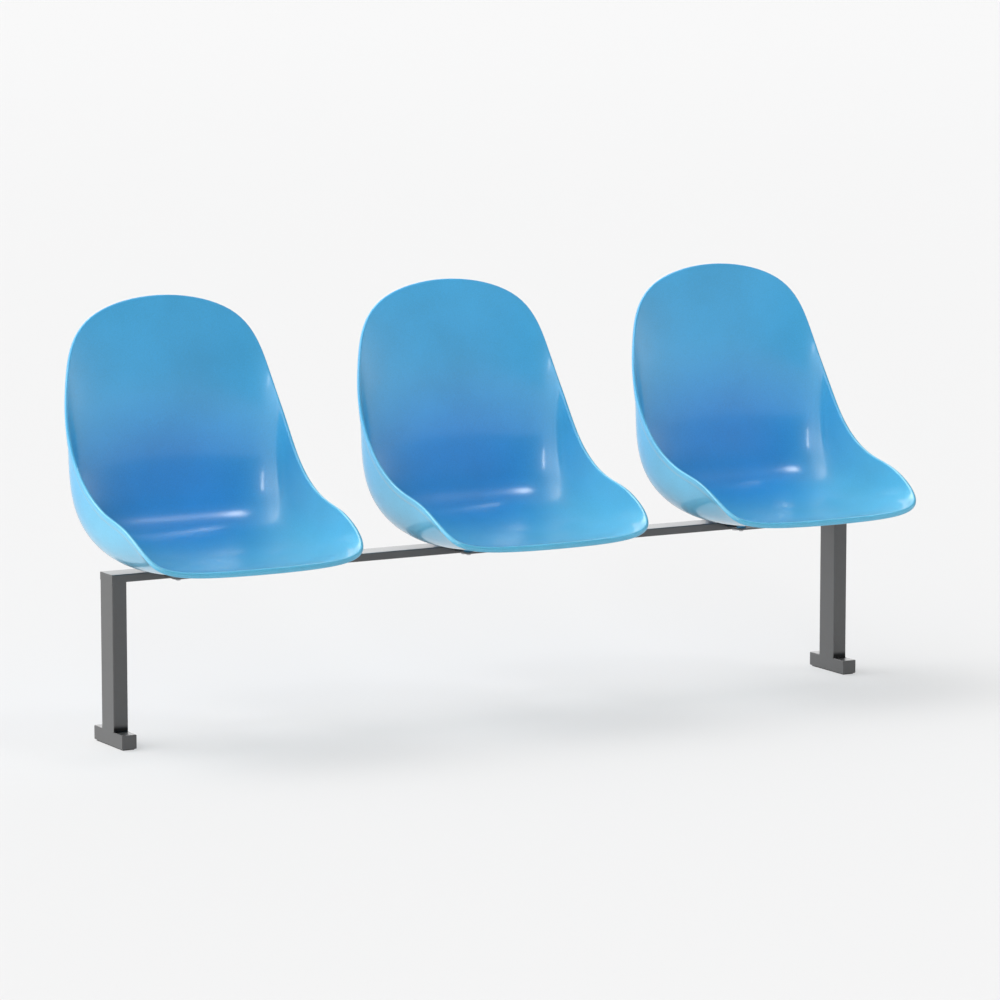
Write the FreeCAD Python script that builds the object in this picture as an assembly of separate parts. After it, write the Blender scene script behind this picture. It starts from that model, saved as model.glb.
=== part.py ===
import FreeCAD, Part
import math
import os
from FreeCAD import Vector

# Three-seat beam bench. Millimetres, +Z up, sitters face -Y, +X to the sitters' left.
# x = 0 is the middle of the beam, z = 0 is the floor. The bench is built with y = 0 at
# the front face of the beam and then moved along Y, so that its box is centred on y = 0.

# Beam, posts and feet
BEAM_LENGTH = 1700.0
BEAM_DEPTH = 55.0
BEAM_HEIGHT = 16.0
BEAM_TOP = 340.0
BEAM_WALL = 2.0
POST_WIDTH = 31.0
POST_WALL = 2.0
FOOT_FRONT = 37.5
FOOT_REAR = 35.5
FOOT_HEIGHT = 28.0
FOOT_WALL = 2.5
END_PLATE = 2.0
TUBE_CORNER = 2.0
WELD_LEG = 5.0
PAD_THICKNESS = 2.0
PAD_INSET = 3.0

# Seats along the beam
SEAT_COUNT = 3
SEAT_PITCH = 645.0

# Seat shell: the frame that holds its outline, and its wall and rim
RIM_HALF_WIDTH = 235.0
SHELL_DEPTH = 472.0
SHELL_RISE = 497.0
LIP_REACH = 256.0
LIP_ABOVE_BEAM = 33.0
SHELL_WALL = 5.0
RIM_ROUND = 3.0
RIM_THICKNESS = 7.0
LIP_THICKNESS = 12.0
RIM_BAND = 11.0
LIP_SPREAD = 4

# Rim of one half of the shell, from the middle of the lip to the middle of the top:
# control points of a smooth curve, as shares of the half width, depth and rise.
RIM_SHAPE = [
    (0.000, 0.000, 0.000),
    (0.875, 0.006, 0.000),
    (0.983, 0.068, 0.060),
    (0.983, 0.286, 0.163),
    (0.983, 0.468, 0.175),
    (1.000, 0.686, 0.278),
    (1.000, 0.828, 0.477),
    (0.940, 0.896, 0.670),
    (0.795, 0.964, 0.913),
    (0.000, 1.000, 1.000),
]
# Middle line of the seat and back, level with the rim's points: shares of depth and rise.
MIDDLE_SHAPE = [
    (0.000, 0.000),
    (0.006, 0.000),
    (0.066, -0.014),
    (0.273, -0.046),
    (0.595, -0.046),
    (0.909, 0.089),
    (0.922, 0.410),
    (0.940, 0.728),
    (0.964, 0.913),
    (1.000, 1.000),
]
# Cross-section: shallow places are a soft arc, deep ones a flat pan with upright wings.
DEEP_SECTION = 165.0
SOFT_POWER = 2.3
BOXY_POWER = 5.4
SOFT_SWEEP = math.radians(50.0)
BOXY_SWEEP = math.radians(94.0)

# Bosses under the pan, with moulded-in threaded inserts
SCREW_HALF_SPACING = 80.0
FRONT_SCREW_Y = -35.0
REAR_SCREW_Y = 85.0
BOSS_RADIUS = 10.0
INSERT_RADIUS = 4.5
INSERT_LENGTH = 11.0

# Seat bracket, a bent plate that sits over the beam
BRACKET_WIDTH = 190.0
BRACKET_SHEET = 3.0
BRACKET_BEND = 2.0
BRACKET_CORNER = 8.0
FRONT_WING = 54.0
FRONT_DROP = 10.0
REAR_WING = 54.0
REAR_LIFT = 9.0
BRACKET_FIT = 0.3

# Seat screws and beam bolts
SCREW_RADIUS = 3.0
SCREW_HEAD_RADIUS = 5.0
SCREW_HEAD_HEIGHT = 3.3
SCREW_KEY = 4.0
SCREW_TIP_GAP = 1.0
SCREW_WASHER_RADIUS = 6.0
BOLT_HALF_SPACING = 55.0
BOLT_RADIUS = 4.0
BOLT_HEAD_ACROSS = 13.0
BOLT_HEAD_HEIGHT = 5.3
BOLT_NUT_HEIGHT = 6.5
BOLT_TIP = 1.5
BOLT_WASHER_RADIUS = 8.0
WASHER_THICKNESS = 1.6
HOLE_CLEARANCE = 0.5
THREAD_CLEARANCE = 0.05
SLEEVE_RADIUS = 6.5
SLEEVE_END_GAP = 0.05

# Fineness of the shell's surfaces, and steps on its unit disc used to find directions
NET_SIZE = 57
PEEK = 0.002
RIM_TURN = 0.01
RIM_STEP = 0.02
NEAR_RIM = 0.997

# Lengths closer than this count as equal, directions closer than this as parallel
SMALL = 0.01
PARALLEL = 0.999

UP = Vector(0, 0, 1)
ALONG = Vector(1, 0, 0)
BACK = Vector(0, 1, 0)


def spline_point(points, turn):
    """Point of a closed cubic curve, given half its control points: the other half is
    their mirror image. turn runs from 0 at the first point to 1 at the last."""
    last = len(points) - 1
    place = min(max(turn, 0.0), 1.0) * last
    start = min(int(place), last - 1)
    f = place - start
    weights = (
        (1 - f) ** 3 / 6,
        (3 * f ** 3 - 6 * f ** 2 + 4) / 6,
        (-3 * f ** 3 + 3 * f ** 2 + 3 * f + 1) / 6,
        f ** 3 / 6,
    )
    total = Vector(0, 0, 0)
    for step, weight in enumerate(weights):
        index = start - 1 + step
        mirror = 1
        if index < 0:
            index, mirror = 1, -1
        if index > last:
            index, mirror = last - 1, -1
        point = points[index]
        total += Vector(mirror * point.x, point.y, point.z) * weight
    return total


def shell_frame(across, along, up):
    """Shares of the shell's frame turned into millimetres."""
    return Vector(
        across * RIM_HALF_WIDTH,
        along * SHELL_DEPTH - LIP_REACH,
        up * SHELL_RISE + BEAM_TOP + LIP_ABOVE_BEAM,
    )


RIM = [shell_frame(*share) for share in RIM_SHAPE]
MIDDLE = [shell_frame(0, *share) for share in MIDDLE_SHAPE]


def corner_point(power, angle):
    """Point at an angle from straight down on a unit superellipse."""
    reach = abs(math.sin(angle)) ** power + abs(math.cos(angle)) ** power
    reach = reach ** (-1 / power)
    return reach * math.sin(angle), reach * math.cos(angle)


def seat_point(p, q):
    """Point of the shell's inner face. (p, q) lies on a unit disc whose edge is the rim:
    q = -1 is the middle of the lip, q = 1 the middle of the top."""
    half = math.sqrt(max(1 - q * q, 1e-12))
    side = max(-1.0, min(1.0, p / half))
    turn = math.acos(max(-1.0, min(1.0, -q))) / math.pi
    rim = spline_point(RIM, turn)
    middle = spline_point(MIDDLE, turn)
    lift = Vector(0, rim.y - middle.y, rim.z - middle.z)
    boxy = min(1.0, lift.Length / DEEP_SECTION)
    power = SOFT_POWER + (BOXY_POWER - SOFT_POWER) * boxy
    sweep = SOFT_SWEEP + (BOXY_SWEEP - SOFT_SWEEP) * boxy
    end_across, end_down = corner_point(power, sweep)
    across, down = corner_point(power, side * sweep)
    share = (1 - down) / (1 - end_down)
    return Vector(rim.x * across / end_across, middle.y, middle.z) + lift * share


def wall_normal(p, q):
    """Direction through the wall, from the sitter's side to the outside."""
    reach = math.hypot(p, q)
    if reach > NEAR_RIM:
        p, q = p * NEAR_RIM / reach, q * NEAR_RIM / reach
    across = seat_point(p + PEEK, q) - seat_point(p - PEEK, q)
    along = seat_point(p, q + PEEK) - seat_point(p, q - PEEK)
    return along.cross(across).normalize()


def rim_frame(p, q):
    """At the rim's point in the direction (p, q): the point, the way outward past the
    edge, the way through the wall, and how fast the surface runs out to the rim."""
    cosine, sine = math.cos(RIM_TURN), math.sin(RIM_TURN)
    here = seat_point(p, q)
    ahead = seat_point(p * cosine - q * sine, q * cosine + p * sine)
    behind = seat_point(p * cosine + q * sine, q * cosine - p * sine)
    through = wall_normal(p, q)
    edge = through.cross(ahead - behind).normalize()
    run = (here - seat_point(p * (1 - RIM_STEP), q * (1 - RIM_STEP))) / RIM_STEP
    if edge.dot(run) < 0:
        edge = edge * -1
    return here, edge, through, edge.dot(run)


def wall_point(p, q, inset, depth):
    """Point in the wall: inset is the distance in from the rim's crest, which fades out
    towards the middle of the shell, and depth the distance out from the inner face."""
    reach = math.hypot(p, q)
    if reach < 1e-9:
        return seat_point(0, 0) + wall_normal(0, 0) * depth
    crest, edge, through, speed = rim_frame(p / reach, q / reach)
    if inset < 0:
        return crest - edge * inset + through * depth
    pull = 1 - inset / speed * reach ** 2
    p, q = p * pull, q * pull
    return seat_point(p, q) + wall_normal(p, q) * depth


def net_places(count):
    """Where the control points of a clamped cubic surface belong, from -1 to 1."""
    spans = count - 3
    knots = [0, 0, 0] + list(range(spans + 1)) + [spans, spans, spans]
    return [2 * sum(knots[i + 1:i + 4]) / (3 * spans) - 1 for i in range(count)]


def spline_face(net):
    """Face on a cubic surface with the given net of control points."""
    bounds = []
    for count in (len(net), len(net[0])):
        spans = count - 3
        bounds.append(([4] + [1] * (spans - 1) + [4], [float(k) for k in range(spans + 1)]))
    (u_mults, u_knots), (v_mults, v_knots) = bounds
    surface = Part.BSplineSurface()
    surface.buildFromPolesMultsKnots(net, u_mults, v_mults, u_knots, v_knots, False, False, 3, 3)
    return surface.toShape()


def disc_place(a, b):
    """Point of the unit disc for a point of the square from -1 to 1."""
    return a * math.sqrt(1 - b * b / 2), b * math.sqrt(1 - a * a / 2)


def rim_section(a, b):
    """Control points round the rolled rim, as inset and depth: from the inner face over
    the crest and down the outside. The roll is deeper along the lip."""
    p, q = disc_place(a, b)
    lip = max(0.0, -q) ** LIP_SPREAD
    roll = RIM_THICKNESS + (LIP_THICKNESS - RIM_THICKNESS) * lip
    shoulder = RIM_ROUND / 2
    return [
        (RIM_ROUND, 0.0),
        (RIM_ROUND / 3, 0.0),
        (-RIM_ROUND / 4, roll * 0.2),
        (-RIM_ROUND / 3, roll * 0.5),
        (-RIM_ROUND / 4, roll * 0.85),
        (shoulder, roll),
        (RIM_BAND * 0.45, roll),
        (RIM_BAND - shoulder, roll),
        (RIM_BAND, (roll + SHELL_WALL) / 2),
        (RIM_BAND + shoulder, SHELL_WALL),
        (RIM_BAND + RIM_ROUND, SHELL_WALL),
    ]


def make_shell():
    """One moulded seat shell, with no bosses, centred on x = 0."""
    places = net_places(NET_SIZE)
    inner_edge = (RIM_ROUND, 0.0)
    outer_edge = (RIM_BAND + RIM_ROUND, SHELL_WALL)
    faces = []
    for edge in (inner_edge, outer_edge):
        net = [[wall_point(*disc_place(a, b), *edge) for b in places] for a in places]
        faces.append(spline_face(net))
    sides = [
        [(-1, b) for b in places],
        [(1, b) for b in places],
        [(a, -1) for a in places],
        [(a, 1) for a in places],
    ]
    for side in sides:
        net = [[wall_point(*disc_place(a, b), *step) for step in rim_section(a, b)] for a, b in side]
        faces.append(spline_face(net))
    shell = Part.Shell(faces)
    shell.sewShape()
    solid = Part.Solid(shell)
    if solid.Volume < 0:
        solid.reverse()
    return solid


def cylinder(radius, height, x, y, z):
    """Upright cylinder standing on (x, y, z)."""
    return Part.makeCylinder(radius, height, Vector(x, y, z), UP)


def bar(low, high):
    """Box between two corners."""
    return Part.makeBox(high[0] - low[0], high[1] - low[1], high[2] - low[2], Vector(*low))


def rounded(solid, way, radius):
    """The solid with its edges along one direction rounded."""
    edges = [e for e in solid.Edges if abs(e.tangentAt(e.FirstParameter).dot(way)) > PARALLEL]
    return solid.makeFillet(radius, edges)


def tube(low, high, way, wall):
    """Rectangular tube with rounded corners, open at both ends along one direction."""
    low, high = Vector(*low), Vector(*high)
    shrink = Vector(wall, wall, wall) - way * wall
    grow = way * wall
    outside = rounded(bar(low, high), way, TUBE_CORNER)
    inside = bar(low + shrink - grow, high - shrink + grow)
    return outside.cut(inside)


def hexagon(across, height, x, y, z):
    """Upright hexagonal prism standing on (x, y, z)."""
    radius = across / math.sqrt(3)
    points = []
    for i in range(6):
        turn = i * math.pi / 3
        points.append(Vector(x + radius * math.cos(turn), y + radius * math.sin(turn), z))
    return Part.Face(Part.makePolygon(points + points[:1])).extrude(UP * height)


def seat_centres():
    """Where the seats stand along the beam."""
    first = -(SEAT_COUNT - 1) / 2
    return [(first + i) * SEAT_PITCH for i in range(SEAT_COUNT)]


def wing_levels():
    """Top faces of the bracket's front and rear wings."""
    front = BEAM_TOP + BRACKET_SHEET - FRONT_DROP
    rear = BEAM_TOP + BRACKET_SHEET + REAR_LIFT
    return front, rear


def screw_places():
    """Seat screws of one seat: x, y and the level of the wing's top face."""
    front, rear = wing_levels()
    places = []
    for x in (-SCREW_HALF_SPACING, SCREW_HALF_SPACING):
        places.append((x, FRONT_SCREW_Y, front))
        places.append((x, REAR_SCREW_Y, rear))
    return places


def bolt_places():
    """Beam bolts of one seat."""
    return [(x, BEAM_DEPTH / 2) for x in (-BOLT_HALF_SPACING, BOLT_HALF_SPACING)]


def add_bosses(shell):
    """The shell with its four bosses, bored for the inserts. Each boss is the part of a
    tall column that stays below the pan."""
    for x, y, level in screw_places():
        column = cylinder(BOSS_RADIUS, SHELL_RISE, x, y, level)
        below = min(column.cut(shell).Solids, key=lambda piece: piece.BoundBox.ZMin)
        shell = shell.fuse(below)
    for x, y, level in screw_places():
        bore = cylinder(INSERT_RADIUS + THREAD_CLEARANCE, INSERT_LENGTH, x, y, level)
        shell = shell.cut(bore)
    return shell.Solids[0]


def make_inserts():
    """Moulded-in threaded inserts of one shell."""
    pieces = []
    for x, y, level in screw_places():
        body = cylinder(INSERT_RADIUS, INSERT_LENGTH, x, y, level)
        pieces.append(body.cut(cylinder(SCREW_RADIUS + THREAD_CLEARANCE, INSERT_LENGTH, x, y, level)))
    return pieces


def make_bracket():
    """Bent plate: over the beam, a step down to the front wing and up to the rear one."""
    front, rear = wing_levels()
    sheet = BRACKET_SHEET
    front_end = -FRONT_WING
    rear_end = BEAM_DEPTH + REAR_WING
    front_web = -BRACKET_FIT
    rear_web = BEAM_DEPTH + BRACKET_FIT + sheet
    under = [
        (front_end, front - sheet),
        (front_web, front - sheet),
        (front_web, BEAM_TOP),
        (rear_web, BEAM_TOP),
        (rear_web, rear - sheet),
        (rear_end, rear - sheet),
    ]
    over = [
        (rear_end, rear),
        (rear_web - sheet, rear),
        (rear_web - sheet, BEAM_TOP + sheet),
        (front_web - sheet, BEAM_TOP + sheet),
        (front_web - sheet, front),
        (front_end, front),
    ]
    points = [Vector(-BRACKET_WIDTH / 2, y, z) for y, z in under + over]
    plate = Part.Face(Part.makePolygon(points + points[:1])).extrude(ALONG * BRACKET_WIDTH)
    outer_bends = under[1:4:2] + over[1:4:2]
    inner_bends = under[2:5:2] + over[2:5:2]
    for bends, radius in ((inner_bends, BRACKET_BEND), (outer_bends, BRACKET_BEND + sheet)):
        edges = []
        for edge in plate.Edges:
            middle = edge.CenterOfMass
            long_edge = edge.BoundBox.XLength > BRACKET_WIDTH / 2
            if long_edge and any(math.hypot(middle.y - y, middle.z - z) < SMALL for y, z in bends):
                edges.append(edge)
        plate = plate.makeFillet(radius, edges)
    corners = []
    for edge in plate.Edges:
        upright = abs(edge.tangentAt(edge.FirstParameter).dot(UP)) > PARALLEL
        if upright and any(abs(edge.CenterOfMass.y - end) < SMALL for end in (front_end, rear_end)):
            corners.append(edge)
    plate = plate.makeFillet(BRACKET_CORNER, corners)
    for x, y, level in screw_places():
        plate = plate.cut(cylinder(SCREW_RADIUS + HOLE_CLEARANCE, 3 * sheet, x, y, level - 2 * sheet))
    for x, y in bolt_places():
        plate = plate.cut(cylinder(BOLT_RADIUS + HOLE_CLEARANCE, 3 * sheet, x, y, BEAM_TOP - sheet))
    return plate


def washer(radius, hole, x, y, z):
    """Flat washer lying on (x, y, z)."""
    return cylinder(radius, WASHER_THICKNESS, x, y, z).cut(cylinder(hole, WASHER_THICKNESS, x, y, z))


def make_seat_washers():
    """Washers under the brackets' wings."""
    drop = BRACKET_SHEET + WASHER_THICKNESS
    hole = SCREW_RADIUS + HOLE_CLEARANCE
    return [washer(SCREW_WASHER_RADIUS, hole, x, y, level - drop) for x, y, level in screw_places()]


def make_seat_screws():
    """Button-head screws that come up through the wings into the inserts."""
    pieces = []
    for x, y, level in screw_places():
        seat = level - BRACKET_SHEET - WASHER_THICKNESS
        tip = level + INSERT_LENGTH - SCREW_TIP_GAP
        bottom = seat - SCREW_HEAD_HEIGHT
        shank = cylinder(SCREW_RADIUS, tip - seat, x, y, seat)
        head = cylinder(SCREW_HEAD_RADIUS, SCREW_HEAD_HEIGHT, x, y, bottom)
        lower = [edge for edge in head.Edges if abs(edge.CenterOfMass.z - bottom) < SMALL]
        head = head.makeFillet(SCREW_HEAD_HEIGHT / 2, lower)
        key = hexagon(SCREW_KEY, SCREW_HEAD_HEIGHT / 2, x, y, bottom)
        pieces.append(shank.fuse(head).cut(key))
    return pieces


def make_beam_bolts():
    """Hexagon bolts that come up through the beam and the bracket."""
    pieces = []
    seat = BEAM_TOP - BEAM_HEIGHT - WASHER_THICKNESS
    tip = BEAM_TOP + BRACKET_SHEET + BOLT_NUT_HEIGHT + BOLT_TIP
    for x, y in bolt_places():
        head = hexagon(BOLT_HEAD_ACROSS, BOLT_HEAD_HEIGHT, x, y, seat - BOLT_HEAD_HEIGHT)
        pieces.append(head.fuse(cylinder(BOLT_RADIUS, tip - seat, x, y, seat)))
    return pieces


def make_beam_washers():
    """Washers between the bolt heads and the beam."""
    level = BEAM_TOP - BEAM_HEIGHT - WASHER_THICKNESS
    hole = BOLT_RADIUS + HOLE_CLEARANCE
    return [washer(BOLT_WASHER_RADIUS, hole, x, y, level) for x, y in bolt_places()]


def make_beam_nuts():
    """Nuts on top of the bracket."""
    pieces = []
    level = BEAM_TOP + BRACKET_SHEET
    for x, y in bolt_places():
        nut = hexagon(BOLT_HEAD_ACROSS, BOLT_NUT_HEIGHT, x, y, level)
        pieces.append(nut.cut(cylinder(BOLT_RADIUS + THREAD_CLEARANCE, BOLT_NUT_HEIGHT, x, y, level)))
    return pieces


def make_sleeves():
    """Sleeves inside the beam that keep the bolts from crushing it."""
    pieces = []
    low = BEAM_TOP - BEAM_HEIGHT + BEAM_WALL + SLEEVE_END_GAP
    height = BEAM_HEIGHT - 2 * BEAM_WALL - 2 * SLEEVE_END_GAP
    for x, y in bolt_places():
        sleeve = cylinder(SLEEVE_RADIUS, height, x, y, low)
        pieces.append(sleeve.cut(cylinder(BOLT_RADIUS + HOLE_CLEARANCE, height, x, y, low)))
    return pieces


def make_beam():
    """Beam tube, drilled for the bolts of every seat."""
    half = BEAM_LENGTH / 2 - END_PLATE
    beam = tube((-half, 0, BEAM_TOP - BEAM_HEIGHT), (half, BEAM_DEPTH, BEAM_TOP), ALONG, BEAM_WALL)
    hole = BOLT_RADIUS + HOLE_CLEARANCE
    for centre in seat_centres():
        for x, y in bolt_places():
            beam = beam.cut(cylinder(hole, BEAM_HEIGHT, centre + x, y, BEAM_TOP - BEAM_HEIGHT))
    return beam


def make_beam_end():
    """Plate that closes the beam's left end."""
    start = -BEAM_LENGTH / 2
    plate = bar((start, 0, BEAM_TOP - BEAM_HEIGHT), (start + END_PLATE, BEAM_DEPTH, BEAM_TOP))
    return rounded(plate, ALONG, TUBE_CORNER)


def weld_fillet(y, way):
    """Hollow weld bead where the post's front or rear face meets the foot."""
    low = PAD_THICKNESS + FOOT_HEIGHT
    start = -BEAM_LENGTH / 2 + TUBE_CORNER
    length = POST_WIDTH - 2 * TUBE_CORNER
    toe = y + way * WELD_LEG
    block = bar((start, min(y, toe), low), (start + length, max(y, toe), low + WELD_LEG))
    return block.cut(Part.makeCylinder(WELD_LEG, length, Vector(start, toe, low + WELD_LEG), ALONG))


def make_post():
    """Left post, with the weld beads at its base."""
    start = -BEAM_LENGTH / 2
    low = PAD_THICKNESS + FOOT_HEIGHT
    post = tube((start, 0, low), (start + POST_WIDTH, BEAM_DEPTH, BEAM_TOP - BEAM_HEIGHT), UP, POST_WALL)
    return post.fuse([weld_fillet(0, -1), weld_fillet(BEAM_DEPTH, 1)])


def make_foot():
    """Left foot, a tube that lies front to back under the post."""
    start = -BEAM_LENGTH / 2
    low = (start, END_PLATE - FOOT_FRONT, PAD_THICKNESS)
    high = (start + POST_WIDTH, BEAM_DEPTH + FOOT_REAR - END_PLATE, PAD_THICKNESS + FOOT_HEIGHT)
    return tube(low, high, BACK, FOOT_WALL)


def make_foot_ends():
    """Plates that close the left foot's two ends."""
    start = -BEAM_LENGTH / 2
    top = PAD_THICKNESS + FOOT_HEIGHT
    plates = []
    for y in (-FOOT_FRONT, BEAM_DEPTH + FOOT_REAR - END_PLATE):
        plate = bar((start, y, PAD_THICKNESS), (start + POST_WIDTH, y + END_PLATE, top))
        plates.append(rounded(plate, BACK, TUBE_CORNER))
    return plates


def make_foot_pad():
    """Rubber sole under the left foot."""
    start = -BEAM_LENGTH / 2
    pad = bar(
        (start + PAD_INSET, PAD_INSET - FOOT_FRONT, 0),
        (start + POST_WIDTH - PAD_INSET, BEAM_DEPTH + FOOT_REAR - PAD_INSET, PAD_THICKNESS),
    )
    return rounded(pad, UP, TUBE_CORNER)


def seat_names():
    """left, middle and right for three seats, plain numbers for any other count."""
    if SEAT_COUNT == 3:
        return ["left", "middle", "right"]
    return [str(i + 1) for i in range(SEAT_COUNT)]


def build():
    """All pieces by node name, each a list of solids."""
    nodes = {"beam_tube": [make_beam()]}
    ends = {
        "beam_end_plate": [make_beam_end()],
        "post": [make_post()],
        "foot": [make_foot()],
        "foot_end_plates": make_foot_ends(),
        "foot_pad": [make_foot_pad()],
    }
    for name, pieces in ends.items():
        nodes[name + "_left"] = pieces
        nodes[name + "_right"] = [piece.mirror(Vector(0, 0, 0), ALONG) for piece in pieces]
    seat = {
        "seat_shell": [add_bosses(make_shell())],
        "shell_inserts": make_inserts(),
        "seat_bracket": [make_bracket()],
        "seat_washers": make_seat_washers(),
        "seat_screws": make_seat_screws(),
        "beam_bolts": make_beam_bolts(),
        "bolt_washers": make_beam_washers(),
        "beam_nuts": make_beam_nuts(),
        "beam_sleeves": make_sleeves(),
    }
    for side, centre in zip(seat_names(), seat_centres()):
        for name, pieces in seat.items():
            nodes[name + "_" + side] = [piece.translated(ALONG * centre) for piece in pieces]
    return nodes


def main():
    os.makedirs("parts", exist_ok=True)
    nodes = build()
    box = Part.makeCompound([piece for pieces in nodes.values() for piece in pieces]).BoundBox
    centring = Vector(0, -(box.YMin + box.YMax) / 2, 0)
    for name, pieces in nodes.items():
        moved = [piece.translated(centring) for piece in pieces]
        shape = moved[0] if len(moved) == 1 else Part.makeCompound(moved)
        shape.exportStep("parts/" + name + ".step")
        state = "valid" if shape.isValid() else "NOT VALID"
        print(name, len(moved), "solids", round(shape.Volume / 1000, 1), "cm3", state)
    print("moved along Y by", round(centring.y, 3))


main()
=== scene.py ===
import math

import bmesh
import bpy
import numpy as np
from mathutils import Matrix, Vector
from mathutils.bvhtree import BVHTree


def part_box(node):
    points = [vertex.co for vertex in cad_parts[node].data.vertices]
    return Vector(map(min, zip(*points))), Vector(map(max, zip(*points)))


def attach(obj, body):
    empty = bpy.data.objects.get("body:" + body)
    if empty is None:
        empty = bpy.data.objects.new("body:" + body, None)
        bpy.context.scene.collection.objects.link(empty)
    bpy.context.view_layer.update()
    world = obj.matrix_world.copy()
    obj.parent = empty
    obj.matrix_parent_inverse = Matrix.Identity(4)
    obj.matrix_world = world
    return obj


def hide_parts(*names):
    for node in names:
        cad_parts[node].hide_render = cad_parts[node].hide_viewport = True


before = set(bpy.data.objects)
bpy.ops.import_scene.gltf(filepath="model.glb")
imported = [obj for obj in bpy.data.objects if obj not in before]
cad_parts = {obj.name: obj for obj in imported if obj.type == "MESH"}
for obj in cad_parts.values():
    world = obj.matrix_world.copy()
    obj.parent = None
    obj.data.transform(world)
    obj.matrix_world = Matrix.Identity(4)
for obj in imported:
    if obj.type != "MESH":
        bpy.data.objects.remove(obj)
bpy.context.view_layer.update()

# Three-seat beam bench in its studio. Metres, +Z up, sitters face -Y.
# The moulded shells are built here from the same rim and middle lines as the CAD solids,
# the welds are added between the frame's tubes, and every other piece is a CAD node with
# a finish of its own.

SEATS = ("left", "middle", "right")
ENDS = ("left", "right")
UP = Vector((0, 0, 1))
BODY = "root"

# Seat shell: the frame that holds its outline, and its wall and rim
RIM_HALF_WIDTH = 0.235
SHELL_DEPTH = 0.472
SHELL_RISE = 0.497
LIP_REACH = 0.256
LIP_ABOVE_BEAM = 0.033
SHELL_WALL = 0.005
RIM_ROUND = 0.003
RIM_THICKNESS = 0.007
LIP_THICKNESS = 0.012
RIM_BAND = 0.011
LIP_SPREAD = 4

# Rim of one half of the shell, from the middle of the lip to the middle of the top:
# control points of a smooth curve, as shares of the half width, depth and rise.
RIM_SHAPE = [
    (0.000, 0.000, 0.000),
    (0.875, 0.006, 0.000),
    (0.983, 0.068, 0.060),
    (0.983, 0.286, 0.163),
    (0.983, 0.468, 0.175),
    (1.000, 0.686, 0.278),
    (1.000, 0.828, 0.477),
    (0.940, 0.896, 0.670),
    (0.795, 0.964, 0.913),
    (0.000, 1.000, 1.000),
]
# Middle line of the seat and back, level with the rim's points: shares of depth and rise.
MIDDLE_SHAPE = [
    (0.000, 0.000),
    (0.006, 0.000),
    (0.066, -0.014),
    (0.273, -0.046),
    (0.595, -0.046),
    (0.909, 0.089),
    (0.922, 0.410),
    (0.940, 0.728),
    (0.964, 0.913),
    (1.000, 1.000),
]
# Cross-section: shallow places are a soft arc, deep ones a flat pan with upright wings.
DEEP_SECTION = 0.165
SOFT_POWER = 2.3
BOXY_POWER = 5.4
SOFT_SWEEP = math.radians(50.0)
BOXY_SWEEP = math.radians(94.0)

# Steps on the shell's unit disc used to find directions
PEEK = 0.002
RIM_TURN = 0.01
RIM_STEP = 0.02
NEAR_RIM = 0.997

# Lengths and shares below this count as none
TINY = 1e-9

# Bosses under the pan, bored for the inserts, and the round where they grow out of it.
# Points of the inserts nearer to each other than SAME_INSERT belong to one insert.
BOSS_RADIUS = 0.010
BOSS_EDGE = 0.0006
BOSS_ROOT = 0.003
BOSS_GRIP = 0.0015
BORE_RADIUS = 0.00455
INSERT_LENGTH = 0.011
SAME_INSERT = 4 * BORE_RADIUS
ROUND_STEPS = 8
BOSS_SIDES = 40

# Levels that the heights in a boss's outline are measured from: its foot, the pan's
# underside and the end of the bore
AT_FOOT, AT_PAN, AT_BORE_END = range(3)

# Corner radius of the frame's tubes, filled with weld where two tubes meet
TUBE_CORNER = 0.002

# Painted shade in the corner at the foot of each post, on the weld and on the faces above
# it. The first pair says how far inside the front and rear faces it starts and is full, the
# second how far above the foot it is still full and has faded out. Then its colour, gloss and
# specular level.
CORNER_SHADE_SKIN = (0.0015, 0.0002)
CORNER_SHADE_FADE = (0.004, 0.016)
CORNER_SHADE_COLOUR = (0.003, 0.003, 0.003)
CORNER_SHADE_GLOSS = 0.15
CORNER_SHADE_SPECULAR = 0.1

# Fineness of the shell's mesh: squares along one side of the core, the core's share of
# the disc, rings from the core to the rim, and steps round the rolled rim
CORE_CELLS = 44
CORE_REACH = 0.55
RINGS = 40
RIM_STEPS = 22

# Shell colour with painted shade and painted light: painted shade deep in the hollow of the
# lower back, faded on the backrest round it, and painted light pale on the lip and the sides.
# Hollow and backrest are ellipsoids round a point on each seat's middle plane, repeated at
# the seats' pitch within a box that holds the bench.
PAINTED_SHADE_BLUE = (0.015, 0.280, 0.720)
FADED_BLUE = (0.050, 0.390, 0.715)
PAINTED_LIGHT_BLUE = (0.082, 0.425, 0.645)
HOLLOW = Vector((0.0, 0.190, 0.440))
HOLLOW_REACH = Vector((0.190, 0.140, 0.150))
BACKREST = Vector((0.0, 0.200, 0.650))
BACKREST_REACH = Vector((0.270, 0.240, 0.450))
SEAT_PITCH = 0.645
BENCH_REACH = 2.0

# Where on those ellipsoids' scale the painted shade and the painted light start and end
PAINTED_SHADE_FADE = (0.3, 1.8)
PAINTED_LIGHT_FADE = (0.65, 1.35)

# Darkness of the powder coats, and how far their speckle strays from it
FRAME_TONE = 0.040
BRACKET_TONE = 0.050
SPECKLE = 0.15

# Colour and roughness of the plated and turned metals
ZINC = ((0.62, 0.62, 0.64), 0.3)
BRASS = ((0.72, 0.56, 0.28), 0.35)

# Camera, fitted to the beam, posts and feet in the photograph, and how far it sees
CAMERA_AZIMUTH = math.radians(29.428)
CAMERA_ELEVATION = math.radians(8.331)
CAMERA_DISTANCE = 9.9603
CAMERA_AIM = Vector((0.01194, 0.0, 0.42531))
CAMERA_LENS = 177.73
CAMERA_SENSOR = 36.0
CAMERA_LIMIT = 100.0

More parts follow.
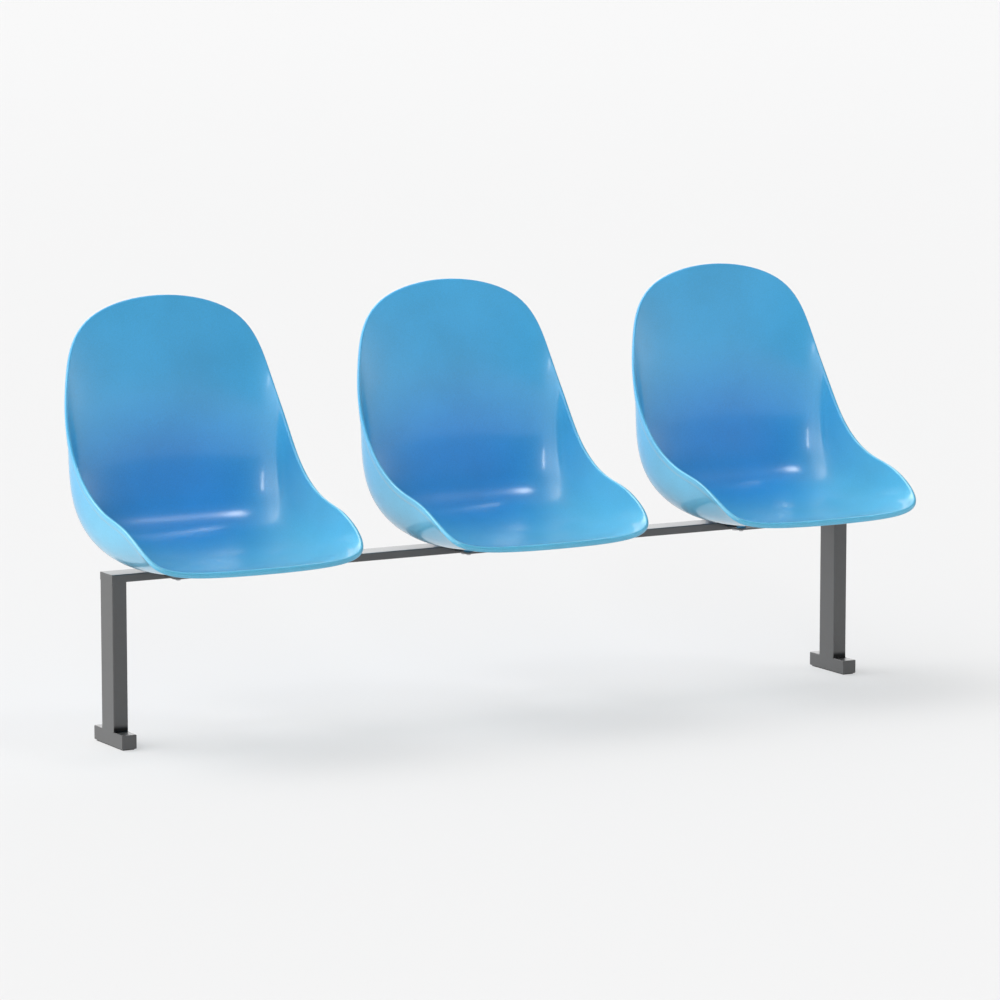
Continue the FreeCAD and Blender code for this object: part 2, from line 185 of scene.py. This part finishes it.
# Studio floor: its size, the share of it that is plain backdrop white, which keeps the
# shadows light, and how bright that white is, to the camera and in the bench's gloss. Then
# its colour near and far, the distances between which it changes, and how uneven it is.
FLOOR_SIZE = 120.0
FLOOR_FILL = 0.5
FLOOR_WHITE = 0.88
FLOOR_SHINE = 0.7
FLOOR_NEAR = (0.680, 0.680, 0.682)
FLOOR_FAR = (0.720, 0.720, 0.722)
FLOOR_FADE = (2.0, 30.0)
FLOOR_MOTTLE = 0.1

# Soft lights painted on the surroundings: azimuth from the front and towards the sitters'
# left, elevation, sharpness (the power of a cosine) and strength. Everything else is the
# dim room.
ROOM_LIGHT = 0.15
STUDIO_LIGHTS = [
    (-105, 8, 10, 2.0),
    (60, 7, 12, 1.2),
    (-50, 24, 10, 1.7),
    (-95, 22, 12, 1.5),
    (-138, 48, 12, 2.5),
    (-150, 58, 14, 3.0),
    (-80, 66, 14, 1.1),
    (150, 18, 10, 1.9),
    (54, 67, 260, 12.0),
    (-27, 14, 700, 8.0),
    (-27, 20, 700, 8.0),
    (-27, 26, 700, 10.0),
    (-27, 32, 700, 10.0),
]


def spline_point(points, turn):
    """Points of a closed cubic curve, given half its control points: the other half is
    their mirror image. turn runs from 0 at the first point to 1 at the last."""
    last = len(points) - 1
    mirror = np.array([-1.0, 1.0, 1.0])
    whole = np.vstack([points[1] * mirror, points, points[last - 1] * mirror])
    place = np.clip(turn, 0.0, 1.0) * last
    start = np.minimum(place.astype(int), last - 1)
    f = (place - start)[:, None]
    weights = (
        (1 - f) ** 3 / 6,
        (3 * f ** 3 - 6 * f ** 2 + 4) / 6,
        (-3 * f ** 3 + 3 * f ** 2 + 3 * f + 1) / 6,
        f ** 3 / 6,
    )
    return sum(weight * whole[start + step] for step, weight in enumerate(weights))


def shell_frame(shares):
    """Shares of the shell's frame turned into metres, with the beam's front at y = 0."""
    beam_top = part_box("beam_tube")[1][2]
    level = beam_top + LIP_ABOVE_BEAM
    return np.array([
        (across * RIM_HALF_WIDTH, along * SHELL_DEPTH - LIP_REACH, up * SHELL_RISE + level)
        for across, along, up in shares
    ])


RIM = shell_frame(RIM_SHAPE)
MIDDLE = shell_frame([(0.0, along, up) for along, up in MIDDLE_SHAPE])


def corner_point(power, angle):
    """Points at an angle from straight down on unit superellipses."""
    reach = np.abs(np.sin(angle)) ** power + np.abs(np.cos(angle)) ** power
    reach = reach ** (-1 / power)
    return reach * np.sin(angle), reach * np.cos(angle)


def seat_point(p, q):
    """Points of the shell's inner face. (p, q) lies on a unit disc whose edge is the rim:
    q = -1 is the middle of the lip, q = 1 the middle of the top."""
    half = np.sqrt(np.maximum(1 - q * q, TINY))
    side = np.clip(p / half, -1.0, 1.0)
    turn = np.arccos(np.clip(-q, -1.0, 1.0)) / math.pi
    rim = spline_point(RIM, turn)
    middle = spline_point(MIDDLE, turn)
    lift = (rim - middle) * (0, 1, 1)
    boxy = np.minimum(1.0, np.linalg.norm(lift, axis=1) / DEEP_SECTION)
    power = SOFT_POWER + (BOXY_POWER - SOFT_POWER) * boxy
    sweep = SOFT_SWEEP + (BOXY_SWEEP - SOFT_SWEEP) * boxy
    end_across, end_down = corner_point(power, sweep)
    across, down = corner_point(power, side * sweep)
    share = (1 - down) / (1 - end_down)
    point = middle * (0, 1, 1) + lift * share[:, None]
    point[:, 0] = rim[:, 0] * across / end_across
    return point


def unit(vectors):
    return vectors / np.linalg.norm(vectors, axis=1)[:, None]


def wall_normal(p, q):
    """Directions through the wall, from the sitter's side to the outside."""
    pull = np.minimum(1.0, NEAR_RIM / np.maximum(np.hypot(p, q), TINY))
    p, q = p * pull, q * pull
    across = seat_point(p + PEEK, q) - seat_point(p - PEEK, q)
    along = seat_point(p, q + PEEK) - seat_point(p, q - PEEK)
    return unit(np.cross(along, across))


def rim_frame(p, q):
    """At the rim's points in the directions (p, q): the points, the ways outward past
    the edge, the ways through the wall, and how fast the surface runs out to the rim."""
    cosine, sine = math.cos(RIM_TURN), math.sin(RIM_TURN)
    here = seat_point(p, q)
    ahead = seat_point(p * cosine - q * sine, q * cosine + p * sine)
    behind = seat_point(p * cosine + q * sine, q * cosine - p * sine)
    through = wall_normal(p, q)
    edge = unit(np.cross(through, ahead - behind))
    run = (here - seat_point(p * (1 - RIM_STEP), q * (1 - RIM_STEP))) / RIM_STEP
    speed = np.sum(edge * run, axis=1)
    return here, edge * np.sign(speed)[:, None], through, np.abs(speed)


def wall_points(p, q, inset, depth):
    """Points in the wall: inset is the distance in from the rim's crest, which fades out
    towards the middle of the shell, and depth the distance out from the inner face."""
    reach = np.hypot(p, q)
    middle = reach < TINY
    away = np.where(middle, 1.0, reach)
    crest, edge, through, speed = rim_frame(p / away, np.where(middle, -1.0, q / away))
    outside = crest - edge * inset[:, None] + through * depth[:, None]
    pull = 1 - inset / speed * reach ** 2
    inside = seat_point(p * pull, q * pull) + wall_normal(p * pull, q * pull) * depth[:, None]
    return np.where((inset < 0)[:, None], outside, inside)


def rim_section(q):
    """Control points round the rolled rim, as inset and depth: from the inner face over
    the crest and down the outside. The roll is deeper along the lip."""
    lip = max(0.0, -q) ** LIP_SPREAD
    roll = RIM_THICKNESS + (LIP_THICKNESS - RIM_THICKNESS) * lip
    shoulder = RIM_ROUND / 2
    return np.array([
        (RIM_ROUND, 0.0),
        (RIM_ROUND / 3, 0.0),
        (-RIM_ROUND / 4, roll * 0.2),
        (-RIM_ROUND / 3, roll * 0.5),
        (-RIM_ROUND / 4, roll * 0.85),
        (shoulder, roll),
        (RIM_BAND * 0.45, roll),
        (RIM_BAND - shoulder, roll),
        (RIM_BAND, (roll + SHELL_WALL) / 2),
        (RIM_BAND + shoulder, SHELL_WALL),
        (RIM_BAND + RIM_ROUND, SHELL_WALL),
    ])


def clamped_curve(points, steps):
    """Points along a cubic curve that starts and ends on its first and last control point."""
    spans = len(points) - 3
    knots = np.array([0.0] * 3 + list(range(spans + 1)) + [float(spans)] * 3)
    places = np.linspace(0, spans, steps + 1)
    places[-1] -= TINY
    basis = ((places[:, None] >= knots[:-1]) & (places[:, None] < knots[1:])).astype(float)
    for degree in (1, 2, 3):
        wide = knots[degree:] - knots[:-degree]
        wide = np.where(wide > 0, wide, np.inf)
        rise = (places[:, None] - knots[:-degree]) / wide
        count = basis.shape[1] - 1
        basis = basis[:, :count] * rise[:, :count] + basis[:, 1:] * (1 - rise[:, 1:count + 1])
    return basis @ points


def disc_grid():
    """Points and squares of a unit disc: a soft square core inside rings that end on the
    circle. Returns the points, the squares and the indices round the circle."""
    steps = np.linspace(-1, 1, CORE_CELLS + 1)
    b, a = np.meshgrid(steps, steps, indexing="ij")
    core = np.stack([a * (1 - b * b / 4), b * (1 - a * a / 4)], axis=-1).reshape(-1, 2) * CORE_REACH
    side = CORE_CELLS + 1
    squares = [
        (row * side + col, row * side + col + 1, (row + 1) * side + col + 1, (row + 1) * side + col)
        for row in range(CORE_CELLS)
        for col in range(CORE_CELLS)
    ]
    bottom = list(range(CORE_CELLS))
    right = [row * side + CORE_CELLS for row in range(CORE_CELLS)]
    top = [CORE_CELLS * side + CORE_CELLS - col for col in range(CORE_CELLS)]
    left = [(CORE_CELLS - row) * side for row in range(CORE_CELLS)]
    loop = bottom + right + top + left
    start = core[loop]
    angles = np.linspace(-0.75 * math.pi, 1.25 * math.pi, len(loop), endpoint=False)
    circle = np.stack([np.cos(angles), np.sin(angles)], axis=-1)
    points = [core]
    for ring in range(1, RINGS + 1):
        share = ring / RINGS
        share = share * (2 - share) if ring < RINGS else 1.0
        points.append(start * (1 - share) + circle * share)
        base = len(core) + (ring - 1) * len(loop)
        outer = [base + i for i in range(len(loop))]
        for i in range(len(loop)):
            j = (i + 1) % len(loop)
            squares.append((loop[i], outer[i], outer[j], loop[j])[::-1])
        loop = outer
    return np.vstack(points), squares, loop


def new_object(name, points, faces, materials):
    """Smooth-shaded mesh object in the scene."""
    mesh = bpy.data.meshes.new(name)
    mesh.from_pydata([tuple(point) for point in points], [], faces)
    mesh.update()
    build = bmesh.new()
    build.from_mesh(mesh)
    bmesh.ops.recalc_face_normals(build, faces=build.faces)
    build.to_mesh(mesh)
    build.free()
    mesh.shade_smooth()
    for material in materials:
        mesh.materials.append(material)
    obj = bpy.data.objects.new(name, mesh)
    bpy.context.scene.collection.objects.link(obj)
    return obj


def shell_mesh():
    """Points and faces of one seat shell without its bosses, centred on x = 0."""
    disc, squares, circle = disc_grid()
    p, q = disc[:, 0], disc[:, 1]
    flat = np.zeros(len(disc))
    inner = wall_points(p, q, flat + RIM_ROUND, flat)
    outer = wall_points(p, q, flat + RIM_BAND + RIM_ROUND, flat + SHELL_WALL)
    points = [inner, outer]
    faces = list(squares)
    faces += [tuple(len(disc) + i for i in square[::-1]) for square in squares]
    around = len(circle)
    rings = [list(circle)]
    count = 2 * len(disc)
    edge = disc[circle]
    sections = np.array([clamped_curve(rim_section(way[1]), RIM_STEPS) for way in edge])
    for step in range(1, RIM_STEPS):
        inset, depth = sections[:, step, 0], sections[:, step, 1]
        points.append(wall_points(edge[:, 0], edge[:, 1], inset, depth))
        rings.append([count + i for i in range(around)])
        count += around
    rings.append([len(disc) + i for i in circle])
    for near, far in zip(rings, rings[1:]):
        for i in range(around):
            j = (i + 1) % around
            faces.append((near[i], near[j], far[j], far[i]))
    return np.vstack(points), faces


def boss_profile():
    """Half outline of a boss as radius, height and the level the height is measured from."""
    steps = [i * math.pi / 2 / ROUND_STEPS for i in range(ROUND_STEPS + 1)]
    edge = [
        (BOSS_RADIUS - BOSS_EDGE * (1 - math.sin(turn)), BOSS_EDGE * (1 - math.cos(turn)), AT_FOOT)
        for turn in steps
    ]
    root = [
        (BOSS_RADIUS + BOSS_ROOT * (1 - math.cos(turn)), BOSS_ROOT * (math.sin(turn) - 1), AT_PAN)
        for turn in steps
    ]
    bore = [(BORE_RADIUS, 0, AT_BORE_END), (BORE_RADIUS, 0, AT_FOOT)]
    return bore + edge + root + [(BOSS_RADIUS + BOSS_ROOT, BOSS_GRIP, AT_PAN)]


def boss_mesh(pan, x, y, level):
    """Points and faces of one boss, from its foot up into the pan's wall."""
    points = []
    for radius, height, base in boss_profile():
        for i in range(BOSS_SIDES):
            turn = 2 * math.pi * i / BOSS_SIDES
            place = Vector((x + radius * math.cos(turn), y + radius * math.sin(turn), level))
            if base == AT_PAN:
                place = pan.ray_cast(place, UP)[0]
            if base == AT_BORE_END:
                place.z += INSERT_LENGTH
            points.append((place.x, place.y, place.z + height))
    rings = len(points) // BOSS_SIDES
    faces = [tuple(range(BOSS_SIDES))]
    faces.append(tuple(range((rings - 1) * BOSS_SIDES, rings * BOSS_SIDES))[::-1])
    for ring in range(rings - 1):
        for i in range(BOSS_SIDES):
            j = (i + 1) % BOSS_SIDES
            low, high = ring * BOSS_SIDES, (ring + 1) * BOSS_SIDES
            faces.append((low + i, high + i, high + j, low + j))
    return np.array(points), faces


def insert_places(side):
    """Foot of every insert of one seat: its middle in x and y, and its lowest level."""
    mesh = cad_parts["shell_inserts_" + side].data
    left = np.array([tuple(vertex.co) for vertex in mesh.vertices])
    places = []
    while len(left):
        near = np.hypot(left[:, 0] - left[0][0], left[:, 1] - left[0][1]) < SAME_INSERT
        group = left[near]
        middle = (group.min(axis=0) + group.max(axis=0)) / 2
        places.append((middle[0], middle[1], group[:, 2].min()))
        left = left[~near]
    return places


def joined(meshes):
    """Several lists of points and faces as one."""
    points, faces, count = [], [], 0
    for some, sides in meshes:
        points.append(some)
        faces += [tuple(count + i for i in side) for side in sides]
        count += len(some)
    return np.vstack(points), faces


def corner_fill(corner, inward, along):
    """Bar that fills the hollow beside a tube's rounded edge: a square corner less a
    quarter circle. inward are the two directions from the corner towards the tube."""
    first, second = (Vector(way) * TUBE_CORNER for way in inward)
    centre = corner + first + second
    outline = [corner]
    for i in range(ROUND_STEPS + 1):
        turn = i * math.pi / 2 / ROUND_STEPS
        outline.append(centre - second * math.cos(turn) - first * math.sin(turn))
    count = len(outline)
    points = [tuple(point) for point in outline] + [tuple(point + along) for point in outline]
    faces = [tuple(range(count)), tuple(range(count, 2 * count))[::-1]]
    for i in range(count):
        j = (i + 1) % count
        faces.append((i, j, count + j, count + i))
    return np.array(points), faces


def weld_fills(end):
    """Ground-flush weld where one post meets the beam above and the foot below."""
    post_low, post_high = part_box("post_" + end)
    x_low, x_high = post_low[0], post_high[0]
    (_, beam_front, beam_bottom), (_, beam_rear, _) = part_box("beam_tube")
    foot_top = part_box("foot_" + end)[1][2]
    across = Vector((x_high - x_low - 2 * TUBE_CORNER, 0, 0))
    back = Vector((0, beam_rear - beam_front - 2 * TUBE_CORNER, 0))
    fills = []
    for y, way in ((beam_front, 1), (beam_rear, -1)):
        corner = Vector((x_low + TUBE_CORNER, y, beam_bottom))
        fills.append(corner_fill(corner, ((0, way, 0), (0, 0, 1)), across))
    for x, way in ((x_low, 1), (x_high, -1)):
        corner = Vector((x, beam_front + TUBE_CORNER, foot_top))
        fills.append(corner_fill(corner, ((way, 0, 0), (0, 0, -1)), back))
    return joined(fills)


def vector_node(nodes, links, kind, first):
    """Vector math node with its first input linked."""
    node = nodes.new("ShaderNodeVectorMath")
    node.operation = kind
    links.new(first, node.inputs[0])
    return node


def math_node(nodes, links, kind, first, second):
    """Result of a sum, product and so on of a link and a link or number."""
    node = nodes.new("ShaderNodeMath")
    node.operation = kind
    links.new(first, node.inputs[0])
    if isinstance(second, (int, float)):
        node.inputs[1].default_value = second
    else:
        links.new(second, node.inputs[1])
    return node.outputs["Value"]


def mixed_shader(nodes, links, share, first, second):
    """One shader turning into another."""
    mix = nodes.new("ShaderNodeMixShader")
    links.new(share, mix.inputs["Fac"])
    links.new(first, mix.inputs[1])
    links.new(second, mix.inputs[2])
    return mix.outputs["Shader"]


def noise(nodes, links, vector, scale, detail, roughness=0.5):
    """Noise texture node fed by a coordinate."""
    texture = nodes.new("ShaderNodeTexNoise")
    texture.inputs["Scale"].default_value = scale
    texture.inputs["Detail"].default_value = detail
    texture.inputs["Roughness"].default_value = roughness
    links.new(vector, texture.inputs["Vector"])
    return texture.outputs["Fac"]


def spread(nodes, links, value, low, high):
    """A 0 to 1 value turned into a range."""
    node = nodes.new("ShaderNodeMapRange")
    node.inputs["To Min"].default_value = low
    node.inputs["To Max"].default_value = high
    links.new(value, node.inputs["Value"])
    return node.outputs["Result"]


def ranged(nodes, links, value, low, high, first=0.0, last=1.0):
    """From the first number to the last over a range of a value, with soft ends."""
    node = nodes.new("ShaderNodeMapRange")
    node.interpolation_type = "SMOOTHSTEP"
    node.inputs["From Min"].default_value = low
    node.inputs["From Max"].default_value = high
    node.inputs["To Min"].default_value = first
    node.inputs["To Max"].default_value = last
    links.new(value, node.inputs["Value"])
    return node.outputs["Result"]


def bump(nodes, links, height, distance, strength, below=None):
    """Bump node, over another bump where one is given."""
    node = nodes.new("ShaderNodeBump")
    node.inputs["Strength"].default_value = strength
    node.inputs["Distance"].default_value = distance
    links.new(height, node.inputs["Height"])
    if below is not None:
        links.new(below, node.inputs["Normal"])
    return node.outputs["Normal"]


def material(name):
    """New node material: the material, its nodes, links, shader and object coordinate."""
    made = bpy.data.materials.new(name)
    made.use_nodes = True
    nodes, links = made.node_tree.nodes, made.node_tree.links
    shader = nodes["Principled BSDF"]
    place = nodes.new("ShaderNodeTexCoord").outputs["Object"]
    return made, nodes, links, shader, place


def blend_colours(nodes, links, share, first, second):
    """Colour between two colours, the first of which may be a link."""
    mix = nodes.new("ShaderNodeMix")
    mix.data_type = "RGBA"
    if isinstance(first, tuple):
        mix.inputs[6].default_value = (*first, 1)
    else:
        links.new(first, mix.inputs[6])
    mix.inputs[7].default_value = (*second, 1)
    links.new(share, mix.inputs[0])
    return mix.outputs[2]


def ellipsoid_reach(nodes, links, place, centre, reach):
    """How far a place lies from an ellipsoid's centre: 1 on its surface."""
    away = vector_node(nodes, links, "SUBTRACT", place)
    away.inputs[1].default_value = centre
    away = vector_node(nodes, links, "DIVIDE", away.outputs["Vector"])
    away.inputs[1].default_value = reach
    return vector_node(nodes, links, "LENGTH", away.outputs["Vector"]).outputs["Value"]


def shell_plastic():
    """Glossy moulded blue plastic. Its colour holds painted shade, deep in the hollow of the
    lower back and faded on the backrest, and painted light, pale towards the lip and the sides,
    with slow changes of tone from the flow of the melt and a fine fleck. Slight waves, a fine
    grain and duller patches break the gloss."""
    made, nodes, links, shader, place = material("shell_plastic")
    wrap = vector_node(nodes, links, "WRAP", place)
    corner = Vector((SEAT_PITCH / 2, BENCH_REACH, BENCH_REACH))
    wrap.inputs[1].default_value = corner
    wrap.inputs[2].default_value = -corner
    # Painted shade: deep blue in the hollow of the lower back, fading out over the backrest
    hollow = ellipsoid_reach(nodes, links, wrap.outputs["Vector"], HOLLOW, HOLLOW_REACH)
    fade = ranged(nodes, links, hollow, *PAINTED_SHADE_FADE)
    faded = blend_colours(nodes, links, fade, PAINTED_SHADE_BLUE, FADED_BLUE)
    # Painted light: pale blue towards the lip and the sides, outside the backrest
    backrest = ellipsoid_reach(nodes, links, wrap.outputs["Vector"], BACKREST, BACKREST_REACH)
    pale = ranged(nodes, links, backrest, *PAINTED_LIGHT_FADE)
    faded = blend_colours(nodes, links, pale, faded, PAINTED_LIGHT_BLUE)
    flow = noise(nodes, links, place, scale=6.0, detail=3.0)
    tone = nodes.new("ShaderNodeHueSaturation")
    links.new(faded, tone.inputs["Color"])
    fleck = noise(nodes, links, place, scale=380.0, detail=3.0, roughness=0.75)
    shade = math_node(nodes, links, "ADD", flow, fleck)
    value = ranged(nodes, links, shade, low=0.6, high=1.4, first=0.88, last=1.12)
    links.new(value, tone.inputs["Value"])
    links.new(tone.outputs["Color"], shader.inputs["Base Color"])
    gloss = noise(nodes, links, place, scale=22.0, detail=4.0)
    links.new(spread(nodes, links, gloss, low=0.32, high=0.44), shader.inputs["Roughness"])
    waves = noise(nodes, links, place, scale=60.0, detail=2.0)
    grain = noise(nodes, links, place, scale=900.0, detail=3.0, roughness=0.6)
    soft = bump(nodes, links, waves, distance=0.0002, strength=0.25)
    rough = bump(nodes, links, grain, distance=0.00006, strength=0.35, below=soft)
    links.new(rough, shader.inputs["Normal"])
    shader.inputs["IOR"].default_value = 1.5
    shader.inputs["Coat Weight"].default_value = 1.0
    shader.inputs["Coat Roughness"].default_value = 0.12
    shader.inputs["Sheen Weight"].default_value = 0.06
    shader.inputs["Sheen Roughness"].default_value = 0.4
    return made


def powder_coat(name, tone):
    """Dark satin powder coat: orange peel and a faint speckle of tone."""
    made, nodes, links, shader, place = material(name)
    speckle = noise(nodes, links, place, scale=900.0, detail=4.0, roughness=0.7)
    dark, light = tone * (1 - SPECKLE), tone * (1 + SPECKLE)
    colour = blend_colours(nodes, links, speckle, (dark,) * 3, (light,) * 3)
    links.new(colour, shader.inputs["Base Color"])
    dull = noise(nodes, links, place, scale=40.0, detail=3.0)
    links.new(spread(nodes, links, dull, low=0.46, high=0.56), shader.inputs["Roughness"])
    peel = noise(nodes, links, place, scale=1200.0, detail=2.0)
    links.new(bump(nodes, links, peel, distance=0.00003, strength=0.3), shader.inputs["Normal"])
    shader.inputs["Coat Weight"].default_value = 1.0
    shader.inputs["Coat Roughness"].default_value = 0.35
    shader.inputs["Coat IOR"].default_value = 1.7
    return made


def paint_corner_shade(coat):
    """Paints shade into the posts' powder coat in the corner at their feet: nearly black and dull
    on the welds there, fading out on the front and rear faces above."""
    nodes, links = coat.node_tree.nodes, coat.node_tree.links
    shader = nodes["Principled BSDF"]
    place = nodes.new("ShaderNodeTexCoord").outputs["Object"]
    axes = nodes.new("ShaderNodeSeparateXYZ")
    links.new(place, axes.inputs["Vector"])
    (_, front, _), (_, rear, _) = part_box("beam_tube")
    middle, half = (front + rear) / 2, (rear - front) / 2
    away = math_node(nodes, links, "SUBTRACT", axes.outputs["Y"], middle)
    away = math_node(nodes, links, "ABSOLUTE", away, 0.0)
    skin = ranged(nodes, links, away, low=half - CORNER_SHADE_SKIN[0], high=half - CORNER_SHADE_SKIN[1])
    foot_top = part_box("foot_left")[1][2]
    low, high = foot_top + CORNER_SHADE_FADE[0], foot_top + CORNER_SHADE_FADE[1]
    near_foot = ranged(nodes, links, axes.outputs["Z"], low=low, high=high, first=1.0, last=0.0)
    # Painted shade: nearly black and dull where the posts meet their feet
    shade_share = math_node(nodes, links, "MULTIPLY", skin, near_foot)
    colour = shader.inputs["Base Color"].links[0].from_socket
    colour = blend_colours(nodes, links, shade_share, colour, CORNER_SHADE_COLOUR)
    links.new(colour, shader.inputs["Base Color"])
    for socket, shade_painted in (("Coat Weight", CORNER_SHADE_GLOSS), ("Specular IOR Level", CORNER_SHADE_SPECULAR)):
        clean = shader.inputs[socket].default_value
        level = ranged(nodes, links, shade_share, low=0.0, high=1.0, first=clean, last=shade_painted)
        links.new(level, shader.inputs[socket])


def plated_metal(name, colour, roughness):
    """Plated or turned metal with fine marks and slightly uneven shine."""
    made, nodes, links, shader, place = material(name)
    stain = noise(nodes, links, place, scale=180.0, detail=4.0)
    darker = tuple(0.8 * c for c in colour)
    links.new(blend_colours(nodes, links, stain, darker, colour), shader.inputs["Base Color"])
    marks = noise(nodes, links, place, scale=1500.0, detail=2.0)
    dull = spread(nodes, links, marks, low=roughness * 0.8, high=roughness * 1.3)
    links.new(dull, shader.inputs["Roughness"])
    links.new(bump(nodes, links, marks, distance=0.00002, strength=0.3), shader.inputs["Normal"])
    shader.inputs["Metallic"].default_value = 1.0
    return made


def pad_rubber():
    """Black rubber with a dusty, pitted skin."""
    made, nodes, links, shader, place = material("pad_rubber")
    dust = noise(nodes, links, place, scale=120.0, detail=5.0, roughness=0.65)
    links.new(blend_colours(nodes, links, dust, (0.012,) * 3, (0.05,) * 3), shader.inputs["Base Color"])
    pits = noise(nodes, links, place, scale=900.0, detail=3.0)
    links.new(spread(nodes, links, pits, low=0.65, high=0.85), shader.inputs["Roughness"])
    links.new(bump(nodes, links, pits, distance=0.0001, strength=0.5), shader.inputs["Normal"])
    return made


def seat_centre(side):
    """Middle of one seat's shell, in x."""
    low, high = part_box("seat_shell_" + side)
    return (low[0] + high[0]) / 2


def add_shells(plastic):
    """One moulded shell for every seat."""
    wall, faces = shell_mesh()
    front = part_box("beam_tube")[0][1]
    for side in SEATS:
        points = wall + np.array([seat_centre(side), front, 0.0])
        pan = BVHTree.FromPolygons([tuple(point) for point in points], faces)
        bosses = [boss_mesh(pan, *place) for place in insert_places(side)]
        shell = new_object("moulded_shell_" + side, *joined([(points, faces)] + bosses), [plastic])
        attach(shell, BODY)
        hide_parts("seat_shell_" + side)


def add_welds(coat):
    """The welds between posts, beam and feet, painted with the frame."""
    for end in ENDS:
        points, faces = weld_fills(end)
        weld = new_object("frame_welds_" + end, points, faces, [coat])
        weld.data.shade_flat()
        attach(weld, BODY)


def finish_nodes(finishes):
    """Gives every CAD node that stays the finish its name asks for."""
    for name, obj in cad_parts.items():
        for start, finish in finishes.items():
            if name.startswith(start):
                obj.data.materials.clear()
                obj.data.materials.append(finish)


def add_floor():
    """Plain pale floor, wide enough to fill the view, with a faint unevenness of tone. It
    is clear from below, so that the bench's underside can be looked at."""
    made, nodes, links, shader, place = material("floor")
    away = vector_node(nodes, links, "LENGTH", place).outputs["Value"]
    mottle = noise(nodes, links, place, scale=1.5, detail=2.0)
    tone = math_node(nodes, links, "MULTIPLY_ADD", mottle, FLOOR_MOTTLE)
    tone.node.inputs[2].default_value = 0.0
    links.new(ranged(nodes, links, away, *FLOOR_FADE), tone.node.inputs[2])
    colour = blend_colours(nodes, links, tone, FLOOR_NEAR, FLOOR_FAR)
    links.new(colour, shader.inputs["Base Color"])
    shader.inputs["Roughness"].default_value = 0.9
    shader.inputs["Specular IOR Level"].default_value = 0.1
    white = nodes.new("ShaderNodeEmission")
    white.inputs["Color"].default_value = (1, 1, 1, 1)
    path = nodes.new("ShaderNodeLightPath").outputs
    bright = spread(nodes, links, path["Is Glossy Ray"], low=FLOOR_WHITE, high=FLOOR_SHINE)
    links.new(bright, white.inputs["Strength"])
    seen = math_node(nodes, links, "MAXIMUM", path["Is Camera Ray"], path["Is Glossy Ray"])
    seen = math_node(nodes, links, "MAXIMUM", seen, path["Is Transmission Ray"])
    share = math_node(nodes, links, "MULTIPLY", seen, FLOOR_FILL)
    lit = mixed_shader(nodes, links, share, shader.outputs["BSDF"], white.outputs["Emission"])
    clear = nodes.new("ShaderNodeBsdfTransparent").outputs["BSDF"]
    below = nodes.new("ShaderNodeNewGeometry").outputs["Backfacing"]
    surface = mixed_shader(nodes, links, below, lit, clear)
    links.new(surface, nodes["Material Output"].inputs["Surface"])
    half = FLOOR_SIZE / 2
    corners = [(-half, -half, 0), (half, -half, 0), (half, half, 0), (-half, half, 0)]
    floor = new_object("floor", corners, [(0, 1, 2, 3)], [made])


def sky_direction(azimuth, elevation):
    """Unit vector for an azimuth and an elevation in degrees."""
    turn, rise = math.radians(azimuth), math.radians(elevation)
    return (math.sin(turn) * math.cos(rise), -math.cos(turn) * math.cos(rise), math.sin(rise))


def add_world():
    """Dim room with soft studio lights round the bench, most of them behind and to the
    left of it."""
    world = bpy.data.worlds.new("studio")
    bpy.context.scene.world = world
    world.use_nodes = True
    nodes, links = world.node_tree.nodes, world.node_tree.links
    way = nodes.new("ShaderNodeTexCoord").outputs["Generated"]
    total = None
    for azimuth, elevation, sharpness, strength in STUDIO_LIGHTS:
        towards = vector_node(nodes, links, "DOT_PRODUCT", way)
        towards.inputs[1].default_value = sky_direction(azimuth, elevation)
        facing = math_node(nodes, links, "MAXIMUM", towards.outputs["Value"], 0.0)
        lobe = math_node(nodes, links, "POWER", facing, float(sharpness))
        lobe = math_node(nodes, links, "MULTIPLY", lobe, float(strength))
        total = math_node(nodes, links, "ADD", lobe, ROOM_LIGHT if total is None else total)
    links.new(total, nodes["Background"].inputs["Strength"])
    nodes["Background"].inputs["Color"].default_value = (1, 1, 1, 1)


def add_camera():
    """Camera at the photograph's place, aimed at the bench from the front left."""
    data = bpy.data.cameras.new("camera")
    data.lens = CAMERA_LENS
    data.sensor_width = CAMERA_SENSOR
    data.clip_end = CAMERA_LIMIT
    camera = bpy.data.objects.new("camera", data)
    back = Vector((
        -math.sin(CAMERA_AZIMUTH) * math.cos(CAMERA_ELEVATION),
        -math.cos(CAMERA_AZIMUTH) * math.cos(CAMERA_ELEVATION),
        math.sin(CAMERA_ELEVATION),
    ))
    aim = CAMERA_AIM + Vector((0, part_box("beam_tube")[0][1], 0))
    camera.location = aim + back * CAMERA_DISTANCE
    camera.rotation_euler = (-back).to_track_quat("-Z", "Y").to_euler()
    bpy.context.scene.collection.objects.link(camera)
    bpy.context.scene.camera = camera


def main():
    dark = powder_coat("frame_coat", FRAME_TONE)
    # The posts' coat carries painted shade in the corner at their feet
    shade_painted = powder_coat("post_coat", FRAME_TONE)
    paint_corner_shade(shade_painted)
    steel = plated_metal("zinc_plate", *ZINC)
    add_shells(shell_plastic())
    add_welds(dark)
    finish_nodes({
        "beam_tube": dark,
        "beam_end": dark,
        "post": shade_painted,
        "foot": dark,
        "seat_bracket": powder_coat("bracket_coat", BRACKET_TONE),
        "foot_pad": pad_rubber(),
        "shell_inserts": plated_metal("insert_brass", *BRASS),
        "seat_washers": steel,
        "seat_screws": steel,
        "beam_bolts": steel,
        "bolt_washers": steel,
        "beam_nuts": steel,
        "beam_sleeves": steel,
    })
    add_floor()
    add_world()
    add_camera()
    bpy.context.scene.view_settings.view_transform = "Standard"


main()
